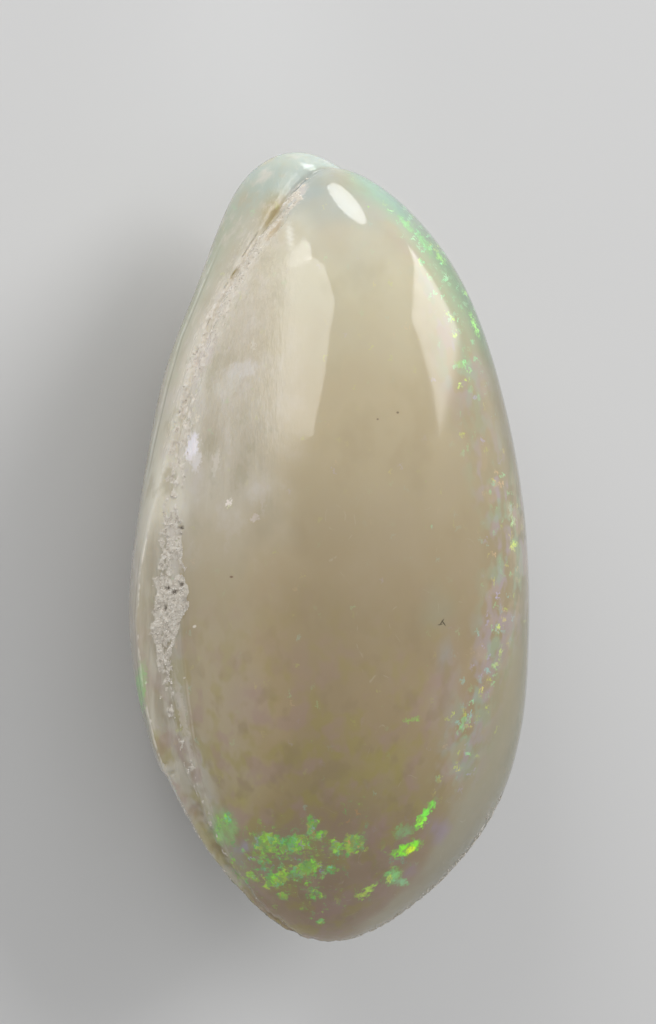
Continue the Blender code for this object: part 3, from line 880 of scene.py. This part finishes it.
# The play of colour by the cells of the opal: strokes of green at the low end, and specks and
# a haze along the line down the free side.
near_line = off_line.peak(-0.3, 2.0) * v.step(-14.5, -11.0) * v.step(18.5, 16.5) * front
haze_there = near_line * (1 - v.peak(6.5, 3.5) * 0.6) * mint.step(0.3, 0.0)
tone = (shade_a.step(0.46, 0.60) * haze_there * 0.60).blend(tone, (0.44, 0.365, 0.42, 1))
tone = (shade_b.step(0.49, 0.62) * haze_there * 0.60).blend(tone, (0.345, 0.44, 0.31, 1))
tone = (shade_c.step(0.50, 0.62) * haze_there * 0.50).blend(tone, (0.47, 0.37, 0.24, 1))
tone = (mint * grains.step(0.38, 0.66) * 0.22).blend(tone, (0.28, 0.56, 0.29, 1))
tone = (green.step(0.05, 0.8) * 0.55).blend(tone, (0.30, 0.345, 0.17, 1))
cells = start.node(
    "ShaderNodeTexVoronoi", {"voronoi_dimensions": "2D"},
    {"Vector": start.vectors("MULTIPLY", torn_seen, (7.0, 4.4, 1)), "Scale": 1.0}, "Color",
)
hue, chance, strength = (
    start.node("ShaderNodeSeparateColor", {}, {"Color": cells}, part) for part in ("Red", "Green", "Blue")
)
green_hues = hue.ramp((
    (0.0, (0.16, 0.46, 0.12)), (0.30, (0.26, 0.66, 0.08)), (0.52, (0.44, 0.60, 0.10)),
    (0.68, (0.22, 0.40, 0.20)), (0.80, (0.18, 0.48, 0.28)), (0.90, (0.48, 0.28, 0.13)),
    (0.95, (0.32, 0.29, 0.42)),
), "CONSTANT")
weave = view_of(1.9, 4.8, 1.9).noise(1.0, 3, 0.7)
stroke = (green * 1.1 + grains * 1.2 + weave * 1.3 - 1.60).step(0.0, 0.36)
stroke_colour = shade_a.ramp((
    (0.30, (0.20, 0.48, 0.27)), (0.40, (0.18, 0.54, 0.11)), (0.49, (0.30, 0.72, 0.07)),
    (0.57, (0.46, 0.62, 0.10)), (0.65, (0.24, 0.56, 0.14)), (0.74, (0.38, 0.40, 0.14)),
))
stroke_colour = (0.45 + strength * 0.2).blend(stroke_colour, green_hues)
stroke = stroke * (0.42 + strength * 0.5)
tone = stroke.blend(tone, stroke_colour)
# The brightest strokes add to the painted glow.
painted_glow = (stroke * strength * sparkle * 0.25).blend(painted_glow, stroke_colour)

# Specks of colour: most along the line, some among the mint and some among the green.
thick = near_line * near_line * (0.15 - v.peak(6.0, 3.5) * 0.1) + mint * 0.035 + green * 0.22
fleck = (thick - chance).step(-0.03, 0.05)
line_hues = hue.ramp((
    (0.0, (0.60, 0.72, 0.12)), (0.26, (0.34, 0.66, 0.34)), (0.50, (0.48, 0.42, 0.62)),
    (0.66, (0.32, 0.58, 0.50)), (0.80, (0.66, 0.46, 0.28)), (0.88, (0.72, 0.66, 0.16)),
), "CONSTANT")
mint_hues = hue.ramp((
    (0.0, (0.30, 0.72, 0.36)), (0.5, (0.40, 0.70, 0.42)), (0.8, (0.54, 0.80, 0.20)),
), "CONSTANT")
fleck_colour = mint.step(0.02, 0.1).blend(line_hues, mint_hues)
fleck_colour = green.step(0.02, 0.06).blend(fleck_colour, green_hues)
fleck = fleck * (0.25 + strength * 0.6) * (0.4 + sparkle * 0.6)
tone = fleck.blend(tone, fleck_colour)
# The specks add a little to the painted glow.
painted_glow = (fleck * strength * 0.16).blend(painted_glow, fleck_colour)

# Fine relief and polish: duller on the worn side by the hinge and at the low end.
crust = (chalky + sugar * 0.5 - 0.25).step(0.22, 0.65) * (1 - v.step(5.0, 10.0) * 0.25)
pores = view_of(4.5, 0.7, 4.5).noise(1.0, 2, 0.6)
rough_side = u.step(-0.7, -3.4) * v.step(-1.0, 6.0) * under.step(2.2, 0.4)
roughness = 0.07 + rough_side * (0.08 + pores * 0.24) + band * 0.3
roughness = roughness + u.step(3.2, 6.0) * v.step(3.0, 7.0) * 0.08
roughness = roughness + v.step(-11.0, -15.0) * 0.08 + hollow * 0.2
ripples = view_of().noise(1.6, 1, 0.5)
fine_height = pores * (rough_side * 0.025 + band * 0.04) + ripples * 0.003
bumps = start.node(
    "ShaderNodeBump", {}, {"Strength": 1.0, "Distance": MM, "Height": fine_height}
)
# The polished opal sends out the painted glow as emission, though it is no lamp.
polished = start.node(
    "ShaderNodeBsdfPrincipled", {"subsurface_method": "RANDOM_WALK"},
    {
        "Base Color": tone, "Roughness": roughness, "IOR": 1.45, "Subsurface Weight": 0.55,
        "Subsurface Radius": (5 * MM, 4.2 * MM, 3 * MM), "Subsurface Scale": 1.0,
        "Emission Color": painted_glow, "Emission Strength": 1.0, "Normal": bumps,
    },
)
crumbly = start.node(
    "ShaderNodeBsdfPrincipled", {"subsurface_method": "RANDOM_WALK"},
    {
        "Base Color": chalk_tone, "Roughness": 0.7, "IOR": 1.45, "Subsurface Weight": 0.3,
        "Subsurface Radius": (0.8 * MM, 0.7 * MM, 0.6 * MM), "Subsurface Scale": 1.0,
    },
)
surface = start.node("ShaderNodeMixShader", {}, {0: crust, 1: polished, 2: crumbly})
start.node("ShaderNodeOutputMaterial", {}, {"Surface": surface})
mesh.materials.append(opal)
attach(clam, "root")
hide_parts("opal_clam")

# The chalk's crumbs.
# Sugary grains, about a tenth of a millimetre across and less, that stand out of the white
# chalk in the seam and of the chipped rim at the low end. They grew there and are fast to it.

chalk_crumbs = bpy.data.objects.new("chalk_crumbs", mesh.copy())
bpy.context.scene.collection.objects.link(chalk_crumbs)
white = bpy.data.materials.new("sugary_chalk")
white.use_nodes = True
white.node_tree.nodes.clear()
grain_start = Shade(white.node_tree)
where = grain_start.node("ShaderNodeTexCoord", output="Object")
in_mm = grain_start.node("ShaderNodeMapping", {}, {"Vector": where, "Scale": (1 / MM,) * 3})
grain_tone = in_mm.noise(2.6, 2, 0.7).ramp((
    (0.34, (0.44, 0.39, 0.33)), (0.45, (0.60, 0.55, 0.48)), (0.55, (0.72, 0.67, 0.60)),
    (0.66, (0.84, 0.80, 0.74)),
))
glassy = grain_start.node(
    "ShaderNodeBsdfPrincipled", {}, {"Base Color": grain_tone, "Roughness": 0.35, "IOR": 1.45}
)
grain_start.node("ShaderNodeOutputMaterial", {}, {"Surface": glassy})

sowing = bpy.data.node_groups.new("sow_crumbs", "GeometryNodeTree")
for name, kind, way in (
    ("Stone", "NodeSocketGeometry", "INPUT"), ("Per square metre", "NodeSocketFloat", "INPUT"),
    ("Smallest", "NodeSocketVector", "INPUT"), ("Largest", "NodeSocketVector", "INPUT"),
    ("Seed", "NodeSocketInt", "INPUT"), ("Finish", "NodeSocketMaterial", "INPUT"),
    ("Crumbs", "NodeSocketGeometry", "OUTPUT"),
):
    sowing.interface.new_socket(name, in_out=way, socket_type=kind)
seed = Shade(sowing)
given = {name: seed.node("NodeGroupInput", output=name) for name in (
    "Stone", "Per square metre", "Smallest", "Largest", "Seed", "Finish"
)}
cover = seed.node("GeometryNodeInputNamedAttribute", {"data_type": "FLOAT"}, {"Name": "crumbs"})
places = seed.node(
    "GeometryNodeDistributePointsOnFaces", {"distribute_method": "RANDOM"},
    {"Mesh": given["Stone"], "Density": cover * given["Per square metre"], "Seed": given["Seed"]},
)
lump = seed.node("GeometryNodeMeshIcoSphere", {}, {"Radius": 1.0, "Subdivisions": 1})
size = seed.node(
    "FunctionNodeRandomValue", {"data_type": "FLOAT_VECTOR"},
    {0: given["Smallest"], 1: given["Largest"], "Seed": given["Seed"]},
)
facing_way = seed.node(
    "FunctionNodeRandomValue", {"data_type": "FLOAT_VECTOR"},
    {0: (0, 0, 0), 1: (math.tau, math.tau, math.tau), "Seed": 5},
)
set_out = seed.node(
    "GeometryNodeInstanceOnPoints", {},
    {"Points": places, "Instance": lump, "Rotation": facing_way, "Scale": size},
)
solid = seed.node("GeometryNodeRealizeInstances", {}, {"Geometry": set_out})
finished = seed.node("GeometryNodeSetMaterial", {}, {"Geometry": solid, "Material": given["Finish"]})
seed.node("NodeGroupOutput", {}, {"Crumbs": finished})

sow = chalk_crumbs.modifiers.new("sow", "NODES")
sow.node_group = sowing
chosen = {
    "Per square metre": 50e6, "Smallest": (0.018 * MM,) * 3, "Largest": (0.06 * MM,) * 3,
    "Seed": 11, "Finish": white,
}
for socket in sowing.interface.items_tree:
    if socket.name in chosen:
        sow[socket.identifier] = chosen[socket.name]
sown = bpy.data.meshes.new_from_object(chalk_crumbs.evaluated_get(bpy.context.evaluated_depsgraph_get()))
chalk_crumbs.modifiers.clear()
chalk_crumbs.data = sown
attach(chalk_crumbs, "root")
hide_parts("opal_clam")
